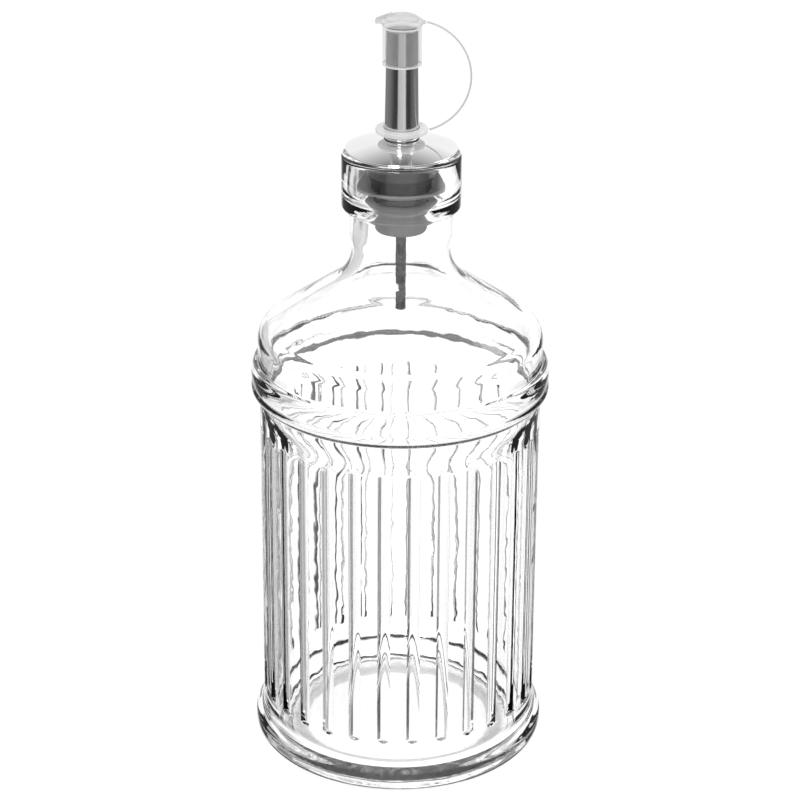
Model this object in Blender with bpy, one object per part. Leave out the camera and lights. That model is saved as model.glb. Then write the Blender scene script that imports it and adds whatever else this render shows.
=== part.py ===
"""Glass oil cruet: a pressed, fluted bottle closed by a pouring stopper.

The bottle stands on the origin with +Z up, and all lengths are in metres.
The stopper is a dark moulded core with two rubber seals, a domed steel disc, a steel spout
with a vent tube inside it, and a silicone cap that is tied to the spout by a ring and strap.
"""
import math

import bmesh
import bpy
from mathutils import Vector

# Fits and cuts that every piece shares
CLEARANCE = 0.0003
OVERRUN = 0.0010

# Bottle: foot
BODY_RADIUS = 0.0400
BODY_WALL = 0.0038
FOOT_PROUD = 0.0023
FOOT_CURVE_WIDTH = 0.0035
FOOT_CURVE_HEIGHT = 0.0047
FOOT_BAND_HEIGHT = 0.0013
FOOT_SHOULDER_HEIGHT = 0.0048
FOOT_REST_WIDTH = 0.0040
PUNT_DEPTH = 0.0022
PUNT_SLOPE_WIDTH = 0.0030
BASE_THICKNESS = 0.0026
FLOOR_CURVE_RADIUS = 0.0020

# Bottle: flutes, the grooves pressed into the body
FLUTE_COUNT = 30
FLUTE_WIDTH_SHARE = 0.44
FLUTE_DEPTH = 0.0009
FLUTE_LENGTH = 0.0848
FLUTE_RUNOUT = 0.0013
FLUTE_FOOT_MARGIN = 0.0046

# Bottle: double bead round the shoulder
BEAD_MARGIN = 0.0079
BEAD_PROUD = 0.0023
BEAD_UNDER_HEIGHT = 0.0027
BEAD_EDGE_WIDTH = 0.0003
BEAD_EDGE_HEIGHT = 0.0006
BEAD_PITCH = 0.0048
BEAD_GROOVE_SHARE = 0.32
BEAD_GROOVE_DEPTH = 0.0004
BEAD_TOP_HEIGHT = 0.0033
SHOULDER_INSIDE_HEIGHT = 0.0124
SHOULDER_STEP_HEIGHT = 0.0100

# Bottle: dome, neck and lip
DOME_STEP = 0.00035
DOME_STRAIGHT = 0.0057
DOME_SLOPE = math.radians(34.5)
DOME_CURVE_RADIUS = 0.0060
NECK_RADIUS = 0.0137
NECK_CURVE_RADIUS = 0.0120
NECK_BAND_PROUD = 0.0009
NECK_FLARE_HEIGHT = 0.0046
NECK_BAND_HEIGHT = 0.0066
BORE_RADIUS = 0.0110
LIP_RADIUS = 0.01665
LIP_HEIGHT = 0.0162
LIP_EDGE_RADIUS = 0.0014
MOUTH_RADIUS = 0.0128
MOUTH_DEPTH = 0.0098
MOUTH_TAPER_HEIGHT = 0.0072
MOUTH_EDGE_RADIUS = 0.0008

# Domed steel disc on the lip
DISC_RADIUS = 0.0156
DISC_THICKNESS = 0.0008
DISC_DOME_RADIUS = 0.0420

# Steel spout
SPOUT_WALL = 0.0005
SPOUT_STEM_RADIUS = 0.0046
SPOUT_STEM_LENGTH = 0.0124
SPOUT_BEAD_PROUD = 0.0004
SPOUT_BEAD_HEIGHT = 0.0011
SPOUT_FOOT_RADIUS = 0.00478
SPOUT_TIP_RADIUS = 0.00432
SPOUT_HEIGHT = 0.0293
SPOUT_EDGE_RADIUS = 0.00015

# Moulded core of the stopper, sizes from its top to its bottom
CORE_BOSS_RADIUS = 0.0066
CORE_FLANGE_RADIUS = 0.0100
CORE_FLANGE_HEIGHT = 0.0049
CORE_FLANGE_CURVE = 0.0009
CORE_FLANGE_DROP = 0.0009
CORE_SHOULDER_HEIGHT = 0.0022
CORE_RADIUS = 0.0086
CORE_HEIGHT = 0.0020
SEAL_SLOT_HEIGHT = 0.0016
SEAL_SLOT_DEPTH = 0.0011
CORE_WAIST_RADIUS = 0.0079
CORE_WAIST_HEIGHT = 0.0022
CORE_STEM_RADIUS = 0.0060
CORE_STEM_LENGTH = 0.0060
OIL_PASSAGE_RADIUS = 0.0040
VENT_HUB_WALL = 0.0008
WEB_THICKNESS = 0.0022
WEB_ARM_WIDTH = 0.0012
WEB_ARM_COUNT = 3

# Rubber seals
SEAL_FIN_THICKNESS = 0.0008
SEAL_FIN_RISE = 0.0019
SEAL_ROOT_WIDTH = 0.0005
PLUG_FIN_THICKNESS = 0.0010
PLUG_FIN_DROP = 0.0003
PLUG_CUP_RADIUS = 0.0083
PLUG_END_RADIUS = 0.0073
PLUG_END_CURVE = 0.0011
PLUG_END_HEIGHT = 0.0022
PLUG_MOUTH_RADIUS = 0.0046

# Vent tube
VENT_RADIUS = 0.00145
VENT_WALL = 0.0005
VENT_DROP = 0.0247
VENT_RISE = 0.0450

# Silicone ring, strap and cap
RING_RADIUS = 0.00725
RING_HEIGHT = 0.0015
RING_EDGE_RADIUS = 0.0006
STRAP_BULGE = 0.0117
STRAP_THICKNESS = 0.0005
STRAP_WIDTH = 0.0010
CAP_WALL = 0.0006
CAP_DEPTH = 0.0101
CAP_ROOF = 0.0023
CAP_FLANGE_PROUD = 0.0004
CAP_FLANGE_HEIGHT = 0.0011
CAP_FLANGE_CURVE = 0.0003
CAP_BUTTON_RADIUS = 0.00440
CAP_BUTTON_HEIGHT = 0.0006
CAP_DOME_HEIGHT = 0.0011
LUG_REACH = 0.0007
LUG_WIDTH = 0.0022
LUG_THICKNESS = 0.0008
TAB_ANGLE = math.radians(143)
TAB_REACH = 0.0010
TAB_WIDTH = 0.0078
TAB_THICKNESS = 0.0011
TAB_CORNER = 0.0010
TAB_RIB_COUNT = 8
TAB_RIB_WIDTH = 0.0004
TAB_RIB_HEIGHT = 0.0005
TAB_RIB_LENGTH = 0.0016

# Facets round each turned piece, and steps along its curves
BOTTLE_FACETS = 60
DISC_FACETS = 48
STOPPER_FACETS = 36
VENT_FACETS = 16
STRAP_STEPS = 16
CURVE_STEPS = 3
SHARP_ANGLE = math.radians(35)

# Heights that follow from the sizes, from the table up
FOOT_TOP = FOOT_CURVE_HEIGHT + FOOT_BAND_HEIGHT + FOOT_SHOULDER_HEIGHT
FLOOR_LEVEL = PUNT_DEPTH + BASE_THICKNESS
FLUTE_BOTTOM = FOOT_TOP + FLUTE_FOOT_MARGIN
FLUTE_TOP = FLUTE_BOTTOM + FLUTE_LENGTH
BEAD_BOTTOM = FLUTE_TOP + BEAD_MARGIN
LOWER_CREST = BEAD_BOTTOM + BEAD_UNDER_HEIGHT
UPPER_CREST = LOWER_CREST + BEAD_PITCH
DOME_BOTTOM = UPPER_CREST + BEAD_TOP_HEIGHT
DOME_RADIUS = BODY_RADIUS + DOME_STEP
DOME_TURN = math.pi / 2 - DOME_SLOPE
DOME_CURVE_BOTTOM = DOME_BOTTOM + DOME_STRAIGHT
CONE_FOOT = (DOME_RADIUS - DOME_CURVE_RADIUS * (1 - math.cos(DOME_TURN)),
             DOME_CURVE_BOTTOM + DOME_CURVE_RADIUS * math.sin(DOME_TURN))
CONE_HEAD_RADIUS = NECK_RADIUS + NECK_CURVE_RADIUS * (1 - math.cos(DOME_TURN))
CONE_HEAD = CONE_FOOT[1] + (CONE_FOOT[0] - CONE_HEAD_RADIUS) * math.tan(DOME_SLOPE)
NECK_BOTTOM = CONE_HEAD + NECK_CURVE_RADIUS * math.sin(DOME_TURN)
NECK_WALL = NECK_RADIUS - BORE_RADIUS
NECK_BAND_RADIUS = NECK_RADIUS + NECK_BAND_PROUD
NECK_BAND_BOTTOM = NECK_BOTTOM + NECK_FLARE_HEIGHT
LIP_BOTTOM = NECK_BAND_BOTTOM + NECK_BAND_HEIGHT
LIP_TOP = LIP_BOTTOM + LIP_HEIGHT
MOUTH_BOTTOM = LIP_TOP - MOUTH_DEPTH
MOUTH_TAPER_BOTTOM = MOUTH_BOTTOM - MOUTH_TAPER_HEIGHT

DISC_BOTTOM = LIP_TOP + CLEARANCE
DISC_INNER_DOME = DISC_DOME_RADIUS - DISC_THICKNESS
DISC_CENTRE = DISC_BOTTOM - math.sqrt(DISC_INNER_DOME ** 2 - DISC_RADIUS ** 2)
DISC_HOLE_RADIUS = SPOUT_STEM_RADIUS + CLEARANCE
DISC_HOLE_TOP = DISC_CENTRE + math.sqrt(DISC_DOME_RADIUS ** 2 - DISC_HOLE_RADIUS ** 2)

SPOUT_BEAD_BOTTOM = DISC_HOLE_TOP + CLEARANCE
SPOUT_BEAD_TOP = SPOUT_BEAD_BOTTOM + SPOUT_BEAD_HEIGHT
SPOUT_BEAD_RADIUS = SPOUT_STEM_RADIUS + SPOUT_BEAD_PROUD
SPOUT_BOTTOM = SPOUT_BEAD_BOTTOM - SPOUT_STEM_LENGTH
SPOUT_TOP = SPOUT_BEAD_TOP + SPOUT_HEIGHT

CORE_TOP = (DISC_CENTRE + math.sqrt(DISC_INNER_DOME ** 2 - CORE_BOSS_RADIUS ** 2)) - CLEARANCE
CORE_FLANGE_TOP = LIP_TOP - CORE_FLANGE_DROP
CORE_FLANGE_BOTTOM = CORE_FLANGE_TOP - CORE_FLANGE_HEIGHT
CORE_SHOULDER_BOTTOM = CORE_FLANGE_BOTTOM - CORE_SHOULDER_HEIGHT
SEAL_SLOT_TOP = CORE_SHOULDER_BOTTOM - CORE_HEIGHT
SEAL_SLOT_BOTTOM = SEAL_SLOT_TOP - SEAL_SLOT_HEIGHT
SEAL_SLOT_RADIUS = CORE_RADIUS - SEAL_SLOT_DEPTH
CORE_WAIST_BOTTOM = SEAL_SLOT_BOTTOM - CORE_WAIST_HEIGHT
CORE_BOTTOM = CORE_WAIST_BOTTOM - CORE_STEM_LENGTH
VENT_HUB_BORE = VENT_RADIUS + CLEARANCE
VENT_HUB_RADIUS = VENT_HUB_BORE + VENT_HUB_WALL
SEAL_RADIUS = MOUTH_RADIUS - CLEARANCE
PLUG_FIN_RADIUS = BORE_RADIUS - CLEARANCE
PLUG_TOP = CORE_WAIST_BOTTOM - CLEARANCE
PLUG_FLOOR = CORE_BOTTOM - CLEARANCE
PLUG_BOTTOM = PLUG_FLOOR - PLUG_END_HEIGHT
VENT_BOTTOM = PLUG_BOTTOM - VENT_DROP
VENT_TOP = CORE_BOTTOM + VENT_RISE

RING_BOTTOM = SPOUT_BEAD_TOP + CLEARANCE
RING_TOP = RING_BOTTOM + RING_HEIGHT
RING_BORE = SPOUT_FOOT_RADIUS + CLEARANCE
CAP_ROOF_LEVEL = SPOUT_TOP + CLEARANCE
CAP_BOTTOM = CAP_ROOF_LEVEL - CAP_DEPTH
CAP_FLANGE_TOP = CAP_ROOF_LEVEL + CAP_ROOF
CAP_FLANGE_BOTTOM = CAP_FLANGE_TOP - CAP_FLANGE_HEIGHT
CAP_BUTTON_TOP = CAP_FLANGE_TOP + CAP_BUTTON_HEIGHT


def spout_radius(height):
    """Outer radius of the tapered spout at a height above the table."""
    climbed = (height - SPOUT_BEAD_TOP) / SPOUT_HEIGHT
    return SPOUT_FOOT_RADIUS + (SPOUT_TIP_RADIUS - SPOUT_FOOT_RADIUS) * climbed


CAP_BORE_RADIUS = spout_radius(CAP_BOTTOM) + CLEARANCE
CAP_ROOF_RADIUS = SPOUT_TIP_RADIUS + CLEARANCE
CAP_SKIRT_RADIUS = CAP_BORE_RADIUS + CAP_WALL
CAP_FLANGE_RADIUS = CAP_SKIRT_RADIUS + CAP_FLANGE_PROUD

# The strap's two ends, and the arc that joins them
STRAP_FOOT = Vector((RING_RADIUS + CLEARANCE, (RING_BOTTOM + RING_TOP) / 2))
STRAP_HEAD = Vector((CAP_FLANGE_RADIUS + LUG_REACH + CLEARANCE,
                     (CAP_FLANGE_BOTTOM + CAP_FLANGE_TOP) / 2))
STRAP_CHORD = STRAP_HEAD - STRAP_FOOT
STRAP_CURVE_RADIUS = (STRAP_CHORD.length ** 2 / 4 + STRAP_BULGE ** 2) / (2 * STRAP_BULGE)
STRAP_INWARD = Vector((-STRAP_CHORD.y, STRAP_CHORD.x)).normalized()
STRAP_CENTRE = (STRAP_FOOT + STRAP_HEAD) / 2 + STRAP_INWARD * (STRAP_CURVE_RADIUS - STRAP_BULGE)


def arc(centre, radii, start, end, steps=CURVE_STEPS):
    """Points (radius, height) on an ellipse from one angle to another, both ends included."""
    angles = [start + (end - start) * step / steps for step in range(steps + 1)]
    return [(centre[0] + radii[0] * math.cos(angle), centre[1] + radii[1] * math.sin(angle))
            for angle in angles]


def sweep(start, end, steps=CURVE_STEPS):
    """Points on an S-shaped curve that leaves and meets the vertical at both ends."""
    points = []
    for step in range(steps + 1):
        share = step / steps
        blend = (1 - math.cos(math.pi * share)) / 2
        points.append((start[0] + (end[0] - start[0]) * blend,
                       start[1] + (end[1] - start[1]) * share))
    return points


def swell(crest, end, steps=CURVE_STEPS):
    """Points on a swelling curve that leaves the vertical at its crest and falls away to its end."""
    return [(crest[0] + (end[0] - crest[0]) * (step / steps) ** 2,
             crest[1] + (end[1] - crest[1]) * step / steps) for step in range(steps + 1)]


def even_angles(facets):
    return [2 * math.pi * step / facets for step in range(facets)]


def material(name, colour, roughness, metallic=0.0, transmission=0.0, alpha=1.0):
    surface = bpy.data.materials.new(name)
    surface.use_nodes = True
    shader = surface.node_tree.nodes["Principled BSDF"]
    shader.inputs["Base Color"].default_value = (*colour, 1.0)
    shader.inputs["Roughness"].default_value = roughness
    shader.inputs["Metallic"].default_value = metallic
    shader.inputs["Transmission Weight"].default_value = transmission
    shader.inputs["Alpha"].default_value = alpha
    surface.diffuse_color = (*colour, alpha)
    return surface


def finish(name, mesh_data, surface):
    """Turn mesh data into a smooth-shaded object with its faces pointing out."""
    bmesh.ops.recalc_face_normals(mesh_data, faces=mesh_data.faces)
    mesh = bpy.data.meshes.new(name)
    mesh_data.to_mesh(mesh)
    mesh_data.free()
    mesh.materials.append(surface)
    mesh.shade_smooth()
    mesh.set_sharp_from_angle(angle=SHARP_ANGLE)
    piece = bpy.data.objects.new(name, mesh)
    bpy.context.collection.objects.link(piece)
    return piece


def ring_of(mesh_data, radius, height, angles):
    """A ring of vertices, or a single vertex where the radius is zero."""
    if radius == 0:
        return [(0.0, mesh_data.verts.new((0, 0, height)))]
    return [(angle, mesh_data.verts.new((radius * math.cos(angle), radius * math.sin(angle), height)))
            for angle in angles]


def join_rings(mesh_data, lower, upper):
    """Skin the space between two rings, which may hold different numbers of vertices."""
    if len(lower) == 1 or len(upper) == 1:
        pole, ring = (lower, upper) if len(lower) == 1 else (upper, lower)
        for step, (_, vertex) in enumerate(ring):
            mesh_data.faces.new((pole[0][1], vertex, ring[(step + 1) % len(ring)][1]))
        return
    if len(lower) == len(upper):
        for step in range(len(lower)):
            after = (step + 1) % len(lower)
            mesh_data.faces.new((lower[step][1], lower[after][1], upper[after][1], upper[step][1]))
        return
    low, high = 0, 0
    while low < len(lower) or high < len(upper):
        next_low = lower[low + 1][0] if low + 1 < len(lower) else 2 * math.pi + lower[0][0]
        next_high = upper[high + 1][0] if high + 1 < len(upper) else 2 * math.pi + upper[0][0]
        here = lower[low % len(lower)][1]
        there = upper[high % len(upper)][1]
        if high == len(upper) or (low < len(lower) and next_low <= next_high):
            mesh_data.faces.new((here, lower[(low + 1) % len(lower)][1], there))
            low += 1
        else:
            mesh_data.faces.new((here, upper[(high + 1) % len(upper)][1], there))
            high += 1


def turned(name, outline, surface, facets, closed=False):
    """Turn an outline of (radius, height) points about the vertical axis.

    An open outline starts and ends on the axis. A closed one joins its last point to its first.
    """
    mesh_data = bmesh.new()
    rings = [ring_of(mesh_data, radius, height, even_angles(facets)) for radius, height in outline]
    for lower, upper in zip(rings, rings[1:]):
        join_rings(mesh_data, lower, upper)
    if closed:
        join_rings(mesh_data, rings[-1], rings[0])
    return finish(name, mesh_data, surface)


def combine(piece, tool, operation):
    """Join a tool to a piece, or cut it out, and leave the tool out of the model."""
    change = piece.modifiers.new(tool.name, "BOOLEAN")
    change.operation = operation
    change.solver = "EXACT"
    change.object = tool
    tool.hide_render = True
    tool.display_type = "WIRE"


def fluted_ring(mesh_data, height, depth):
    """A ring round the body whose radius dips by a shallow arc in each flute."""
    pitch = 2 * math.pi / FLUTE_COUNT
    half_width = FLUTE_WIDTH_SHARE / 2
    points = []
    for flute in range(FLUTE_COUNT):
        for share in (0.0, half_width / 2, half_width, 1 / 2, 1 - half_width, 1 - half_width / 2):
            across = min(share, 1 - share) / half_width
            radius = BODY_RADIUS - depth * max(0.0, 1 - across ** 2)
            angle = pitch * (flute + share)
            place = (radius * math.cos(angle), radius * math.sin(angle), height)
            points.append((angle, mesh_data.verts.new(place)))
    return points


def make_bottle(glass):
    """The pressed glass bottle: a closed skin of outer face, mouth and inner face."""
    foot_radius = BODY_RADIUS + FOOT_PROUD
    rest_outside = foot_radius - FOOT_CURVE_WIDTH
    rest_inside = rest_outside - FOOT_REST_WIDTH
    band_bottom = FOOT_CURVE_HEIGHT
    band_top = band_bottom + FOOT_BAND_HEIGHT
    quarter = math.pi / 2
    below_flutes = [(0, PUNT_DEPTH), (rest_inside - PUNT_SLOPE_WIDTH, PUNT_DEPTH), (rest_inside, 0)]
    below_flutes += arc((rest_outside, band_bottom), (FOOT_CURVE_WIDTH, FOOT_CURVE_HEIGHT),
                        -quarter, 0)
    below_flutes += arc((BODY_RADIUS, band_top), (FOOT_PROUD, FOOT_SHOULDER_HEIGHT), 0, quarter)

    bead_radius = BODY_RADIUS + BEAD_PROUD
    groove = (bead_radius - BEAD_GROOVE_DEPTH, LOWER_CREST + BEAD_PITCH * BEAD_GROOVE_SHARE)
    above_flutes = [(BODY_RADIUS, BEAD_BOTTOM),
                    (bead_radius - BEAD_EDGE_WIDTH, LOWER_CREST - BEAD_EDGE_HEIGHT)]
    above_flutes += swell((bead_radius, LOWER_CREST), groove)
    above_flutes += swell((bead_radius, UPPER_CREST), groove)[-2::-1]
    above_flutes += arc((DOME_RADIUS, UPPER_CREST), (bead_radius - DOME_RADIUS, BEAD_TOP_HEIGHT),
                        0, quarter)[1:]
    dome_arc_centre = (DOME_RADIUS - DOME_CURVE_RADIUS, DOME_CURVE_BOTTOM)
    neck_arc_centre = (NECK_RADIUS + NECK_CURVE_RADIUS, NECK_BOTTOM)
    above_flutes += arc(dome_arc_centre, (DOME_CURVE_RADIUS,) * 2, 0, DOME_TURN, 4)
    above_flutes += arc(neck_arc_centre, (NECK_CURVE_RADIUS,) * 2, math.pi + DOME_TURN, math.pi, 4)
    above_flutes += sweep((NECK_RADIUS, NECK_BOTTOM), (NECK_BAND_RADIUS, NECK_BAND_BOTTOM), 2)[1:]
    edge = LIP_EDGE_RADIUS
    above_flutes += [(NECK_BAND_RADIUS, LIP_BOTTOM)]
    above_flutes += arc((LIP_RADIUS - edge, LIP_BOTTOM + edge), (edge, edge), -quarter, 0, 2)
    above_flutes += arc((LIP_RADIUS - edge, LIP_TOP - edge), (edge, edge), 0, quarter)
    mouth = MOUTH_EDGE_RADIUS
    above_flutes += arc((MOUTH_RADIUS + mouth, LIP_TOP - mouth), (mouth, mouth), quarter, math.pi, 2)
    above_flutes += sweep((MOUTH_RADIUS, MOUTH_BOTTOM), (BORE_RADIUS, MOUTH_TAPER_BOTTOM), 4)

    inner_neck = NECK_CURVE_RADIUS + NECK_WALL
    inner_dome = DOME_CURVE_RADIUS - NECK_WALL
    above_flutes += arc(neck_arc_centre, (inner_neck,) * 2, math.pi, math.pi + DOME_TURN, 4)
    above_flutes += arc(dome_arc_centre, (inner_dome,) * 2, DOME_TURN, 0)
    inside_radius = BODY_RADIUS - BODY_WALL
    step_top = DOME_BOTTOM - SHOULDER_INSIDE_HEIGHT
    above_flutes += sweep((DOME_RADIUS - NECK_WALL, step_top),
                          (inside_radius, step_top - SHOULDER_STEP_HEIGHT), 3)
    curve = FLOOR_CURVE_RADIUS
    above_flutes += arc((inside_radius - curve, FLOOR_LEVEL + curve), (curve, curve), 0, -quarter)
    above_flutes += [(0, FLOOR_LEVEL)]

    mesh_data = bmesh.new()
    angles = even_angles(BOTTLE_FACETS)
    rings = [ring_of(mesh_data, radius, height, angles) for radius, height in below_flutes]
    rings += [fluted_ring(mesh_data, FLUTE_BOTTOM, 0.0),
              fluted_ring(mesh_data, FLUTE_BOTTOM + FLUTE_RUNOUT, FLUTE_DEPTH),
              fluted_ring(mesh_data, FLUTE_TOP - FLUTE_RUNOUT, FLUTE_DEPTH),
              fluted_ring(mesh_data, FLUTE_TOP, 0.0)]
    rings += [ring_of(mesh_data, radius, height, angles) for radius, height in above_flutes]
    for lower, upper in zip(rings, rings[1:]):
        join_rings(mesh_data, lower, upper)
    return finish("bottle", mesh_data, glass)


def make_cover_disc(steel):
    """The spun steel disc that covers the lip, a shallow dome with a hole for the spout."""
    rim_angle = math.acos(DISC_RADIUS / DISC_DOME_RADIUS)
    hole_angle = math.acos(DISC_HOLE_RADIUS / DISC_DOME_RADIUS)
    inner_rim_angle = math.acos(DISC_RADIUS / DISC_INNER_DOME)
    inner_hole_angle = math.acos(DISC_HOLE_RADIUS / DISC_INNER_DOME)
    outline = arc((0, DISC_CENTRE), (DISC_DOME_RADIUS,) * 2, rim_angle, hole_angle, 5)
    outline += arc((0, DISC_CENTRE), (DISC_INNER_DOME,) * 2, inner_hole_angle, inner_rim_angle, 5)
    return turned("cover_disc", outline, steel, DISC_FACETS, closed=True)


def make_spout(steel):
    """The tapered steel tube, with a bead that seats on the disc and a stem in the core."""
    edge = SPOUT_EDGE_RADIUS
    inside_foot = SPOUT_STEM_RADIUS - SPOUT_WALL
    outline = [(inside_foot, SPOUT_BOTTOM), (SPOUT_STEM_RADIUS, SPOUT_BOTTOM),
               (SPOUT_STEM_RADIUS, SPOUT_BEAD_BOTTOM), (SPOUT_BEAD_RADIUS, SPOUT_BEAD_BOTTOM),
               (SPOUT_BEAD_RADIUS, SPOUT_BEAD_TOP), (SPOUT_FOOT_RADIUS, SPOUT_BEAD_TOP)]
    outline += arc((SPOUT_TIP_RADIUS - edge, SPOUT_TOP - edge), (edge, edge), 0, math.pi / 2, 2)
    outline += [(SPOUT_TIP_RADIUS - SPOUT_WALL, SPOUT_TOP), (inside_foot, SPOUT_BEAD_BOTTOM)]
    return turned("spout_tube", outline, steel, STOPPER_FACETS, closed=True)


def make_core(plastic):
    """The moulded core: a socket for the spout, an oil passage and a web that holds the vent."""
    curve = CORE_FLANGE_CURVE
    quarter = math.pi / 2
    socket_radius = SPOUT_STEM_RADIUS + CLEARANCE
    socket_floor = SPOUT_BOTTOM - CLEARANCE
    web_top = CORE_BOTTOM + WEB_THICKNESS
    outline = [(VENT_HUB_BORE, CORE_BOTTOM), (CORE_STEM_RADIUS, CORE_BOTTOM),
               (CORE_STEM_RADIUS, CORE_WAIST_BOTTOM), (CORE_WAIST_RADIUS, CORE_WAIST_BOTTOM),
               (CORE_WAIST_RADIUS, SEAL_SLOT_BOTTOM), (SEAL_SLOT_RADIUS, SEAL_SLOT_BOTTOM),
               (SEAL_SLOT_RADIUS, SEAL_SLOT_TOP), (CORE_RADIUS, SEAL_SLOT_TOP),
               (CORE_RADIUS, CORE_SHOULDER_BOTTOM), (CORE_FLANGE_RADIUS, CORE_FLANGE_BOTTOM)]
    outline += arc((CORE_FLANGE_RADIUS - curve, CORE_FLANGE_TOP - curve), (curve, curve),
                   0, quarter, 2)
    outline += [(CORE_BOSS_RADIUS, CORE_FLANGE_TOP), (CORE_BOSS_RADIUS, CORE_TOP),
                (socket_radius, CORE_TOP), (socket_radius, socket_floor),
                (OIL_PASSAGE_RADIUS, socket_floor), (OIL_PASSAGE_RADIUS, web_top),
                (VENT_HUB_BORE, web_top)]
    core = turned("stopper_core", outline, plastic, STOPPER_FACETS, closed=True)
    combine(core, make_web_windows(plastic), "DIFFERENCE")
    return core


def make_web_windows(surface):
    """A cutter for the windows between the arms of the web, through which the oil runs."""
    mesh_data = bmesh.new()
    low, high = CORE_BOTTOM - OVERRUN, CORE_BOTTOM + WEB_THICKNESS + OVERRUN
    spans = [(radius, math.asin(WEB_ARM_WIDTH / 2 / radius))
             for radius in (OIL_PASSAGE_RADIUS, VENT_HUB_RADIUS)]
    sector = 2 * math.pi / WEB_ARM_COUNT
    for arm in range(WEB_ARM_COUNT):
        outer, inner = [arc((0, 0), (radius, radius), arm * sector + inset, (arm + 1) * sector - inset,
                            2 * CURVE_STEPS) for radius, inset in spans]
        outline = outer + inner[::-1]
        face = mesh_data.faces.new([mesh_data.verts.new((x, y, low)) for x, y in outline])
        walls = bmesh.ops.extrude_face_region(mesh_data, geom=[face])["geom"]
        top = [item for item in walls if isinstance(item, bmesh.types.BMVert)]
        bmesh.ops.translate(mesh_data, verts=top, vec=(0, 0, high - low))
    return finish("web_windows", mesh_data, surface)


def make_seals(rubber):
    """The grey rubber lip seal in the core's slot, and the rubber cup on the core's stem."""
    bore = SEAL_SLOT_RADIUS + CLEARANCE
    bottom, top = SEAL_SLOT_BOTTOM + CLEARANCE, SEAL_SLOT_TOP - CLEARANCE
    tip_middle = (bottom + top) / 2 + SEAL_FIN_RISE
    tip = SEAL_FIN_THICKNESS / 2
    outline = [(bore, bottom), (CORE_WAIST_RADIUS + CLEARANCE, bottom)]
    outline += arc((SEAL_RADIUS - tip, tip_middle), (tip, tip), -math.pi / 3, math.pi * 2 / 3, 4)
    outline += [(CORE_RADIUS + SEAL_ROOT_WIDTH, top), (bore, top)]
    ring = turned("upper_seal_ring", outline, rubber, STOPPER_FACETS, closed=True)

    sleeve = CORE_STEM_RADIUS + CLEARANCE
    fin = PLUG_FIN_THICKNESS / 2
    end = PLUG_END_CURVE
    outline = [(sleeve, PLUG_TOP), (CORE_WAIST_RADIUS, PLUG_TOP)]
    outline += arc((PLUG_FIN_RADIUS - fin, PLUG_TOP - fin - PLUG_FIN_DROP), (fin, fin),
                   math.pi / 2, -math.pi / 2, 4)
    cup_bottom = PLUG_TOP - PLUG_FIN_THICKNESS - 2 * PLUG_FIN_DROP
    outline += [(PLUG_CUP_RADIUS, cup_bottom - PLUG_FIN_DROP)]
    outline += sweep((PLUG_CUP_RADIUS, cup_bottom - PLUG_FIN_THICKNESS),
                     (PLUG_END_RADIUS, PLUG_BOTTOM + end))
    outline += arc((PLUG_END_RADIUS - end, PLUG_BOTTOM + end), (end, end), 0, -math.pi / 2, 2)[1:]
    outline += [(PLUG_MOUTH_RADIUS, PLUG_BOTTOM), (PLUG_MOUTH_RADIUS, PLUG_FLOOR),
                (sleeve, PLUG_FLOOR)]
    plug = turned("lower_seal_plug", outline, rubber, STOPPER_FACETS, closed=True)
    return ring, plug


def make_vent_tube(dark_plastic):
    """The thin tube that lets air back into the bottle, held in the hub of the core's web."""
    bore = VENT_RADIUS - VENT_WALL
    outline = [(bore, VENT_BOTTOM), (VENT_RADIUS, VENT_BOTTOM), (VENT_RADIUS, VENT_TOP),
               (bore, VENT_TOP)]
    return turned("vent_tube", outline, dark_plastic, VENT_FACETS, closed=True)


def make_strap_ring(silicone):
    """The silicone ring that rests on the spout's bead and carries the strap."""
    edge = RING_EDGE_RADIUS
    outline = [(RING_BORE, RING_BOTTOM)]
    outline += arc((RING_RADIUS - edge, RING_BOTTOM + edge), (edge, edge), -math.pi / 2, 0)
    outline += arc((RING_RADIUS - edge, RING_TOP - edge), (edge, edge), 0, math.pi / 2)
    outline += [(RING_BORE, RING_TOP)]
    return turned("strap_ring", outline, silicone, STOPPER_FACETS, closed=True)


def make_cap_strap(silicone):
    """The thin strap from the ring to the cap, a flat strip bent round most of a half circle."""
    start, end = [math.atan2(place.y - STRAP_CENTRE.y, place.x - STRAP_CENTRE.x)
                  for place in (STRAP_FOOT, STRAP_HEAD)]
    half = STRAP_THICKNESS / 2
    inside, outside = [arc(STRAP_CENTRE, (radius, radius), start, end, STRAP_STEPS)
                       for radius in (STRAP_CURVE_RADIUS - half, STRAP_CURVE_RADIUS + half)]
    mesh_data = bmesh.new()
    sections = []
    for (in_x, in_z), (out_x, out_z) in zip(inside, outside):
        corners = [(in_x, -STRAP_WIDTH / 2, in_z), (out_x, -STRAP_WIDTH / 2, out_z),
                   (out_x, STRAP_WIDTH / 2, out_z), (in_x, STRAP_WIDTH / 2, in_z)]
        sections.append([mesh_data.verts.new(corner) for corner in corners])
    for section, following in zip(sections, sections[1:]):
        for side in range(4):
            after = (side + 1) % 4
            mesh_data.faces.new((section[side], section[after], following[after], following[side]))
    mesh_data.faces.new(sections[0])
    mesh_data.faces.new(sections[-1])
    return finish("cap_strap", mesh_data, silicone)


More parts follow.
